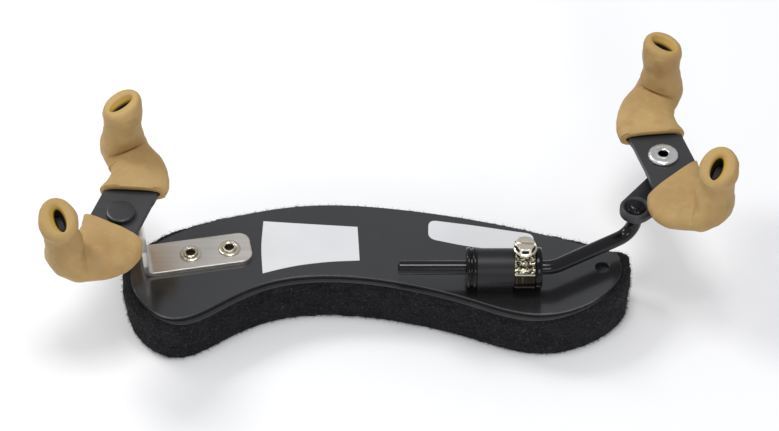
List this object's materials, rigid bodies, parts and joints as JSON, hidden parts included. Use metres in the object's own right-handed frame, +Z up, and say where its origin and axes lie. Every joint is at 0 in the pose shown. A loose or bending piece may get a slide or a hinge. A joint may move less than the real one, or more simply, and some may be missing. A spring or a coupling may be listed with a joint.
{
  "type": "violin shoulder rest",
  "caption": "Kidney-shaped padded plate with two swivelling forks in rubber sleeves that grip a violin's edges; the right one stands on a rod held in a clamp.",
  "frame": {"origin": "on the underside of the foam pad, below the middle of the base plate", "axes": "+X along the plate to the end with the rod, +Y away from the player's neck towards the plate's convex edge, +Z up to the violin"},
  "size_m": [0.1873, 0.0781, 0.0554],
  "materials": {
    "black_steel": "semi-gloss black enamel",
    "adhesive": "double-sided tape",
    "foam": "open-cell black foam",
    "nickel": "nickel-plated, lightly brushed",
    "nickel_rivet": "nickel-plated, rolled edge",
    "black_rivet": "black oxide",
    "spacer": "black nylon",
    "latex": "amber natural rubber, satin",
    "holder_rubber": "smooth matte black",
    "gloss_black": "glossy black",
    "warm_nickel": "warm nickel plate",
    "black_rod": "glossy black enamel",
    "bright_rivet": "bright pressed aluminium"
  },
  "bodies": {
    "base": {"base_plate": "black_steel", "adhesive_sheet": "adhesive", "foam_pad": "foam", "left_bracket": "nickel", "bracket_rivets": "nickel_rivet", "left_fork_rivet": "black_rivet", "left_fork_spacer": "spacer", "holder_saddle": "black_steel", "saddle_rivets": "nickel_rivet", "holder_sleeve": "holder_rubber", "clamp_band": "nickel", "clamp_nut": "nickel"},
    "left_foot": {"left_fork": "black_steel", "left_rear_sleeve": "latex", "left_front_sleeve": "latex"},
    "clamp_screw": {"clamp_screw": "warm_nickel"},
    "liner": {"rod_liner": "gloss_black", "liner_cap": "gloss_black"},
    "rod": {"bent_rod": "black_rod", "link_washer": "spacer", "link_cap": "black_rivet"},
    "link": {"pivot_link": "black_steel", "right_fork_rivet": "bright_rivet", "right_fork_spacer": "spacer"},
    "right_foot": {"right_fork": "black_steel", "right_rear_sleeve": "latex", "right_front_sleeve": "latex"}
  },
  "joints": [
    {"name": "left_fork_swivel", "type": "hinge", "parent": "base", "child": "left_foot", "pos_m": [-0.07, -0.0012, 0.036], "axis": [0, 0, 1], "range_deg": [-12, 12]},
    {"name": "clamp_screw_turn", "type": "hinge", "parent": "base", "child": "clamp_screw", "pos_m": [0.04015, -0.0077, 0.031], "axis": [0, 0, 1], "range_deg": [0, 360]},
    {"name": "rod_turn", "type": "hinge", "parent": "base", "child": "liner", "pos_m": [0.035, -0.0077, 0.0226], "axis": [1, 0, 0], "range_deg": [-10, 35]},
    {"name": "rod_slide", "type": "slide", "parent": "liner", "child": "rod", "axis": [1, 0, 0], "range_m": [0, 0.015]},
    {"name": "link_swivel", "type": "hinge", "parent": "rod", "child": "link", "pos_m": [0.071, 0.00582, 0.03], "axis": [0, 0, 1], "range_deg": [-35, 35]},
    {"name": "right_fork_swivel", "type": "hinge", "parent": "link", "child": "right_foot", "pos_m": [0.0792, 0.0215, 0.036], "axis": [0, 0, 1], "range_deg": [-10, 10]}
  ]
}
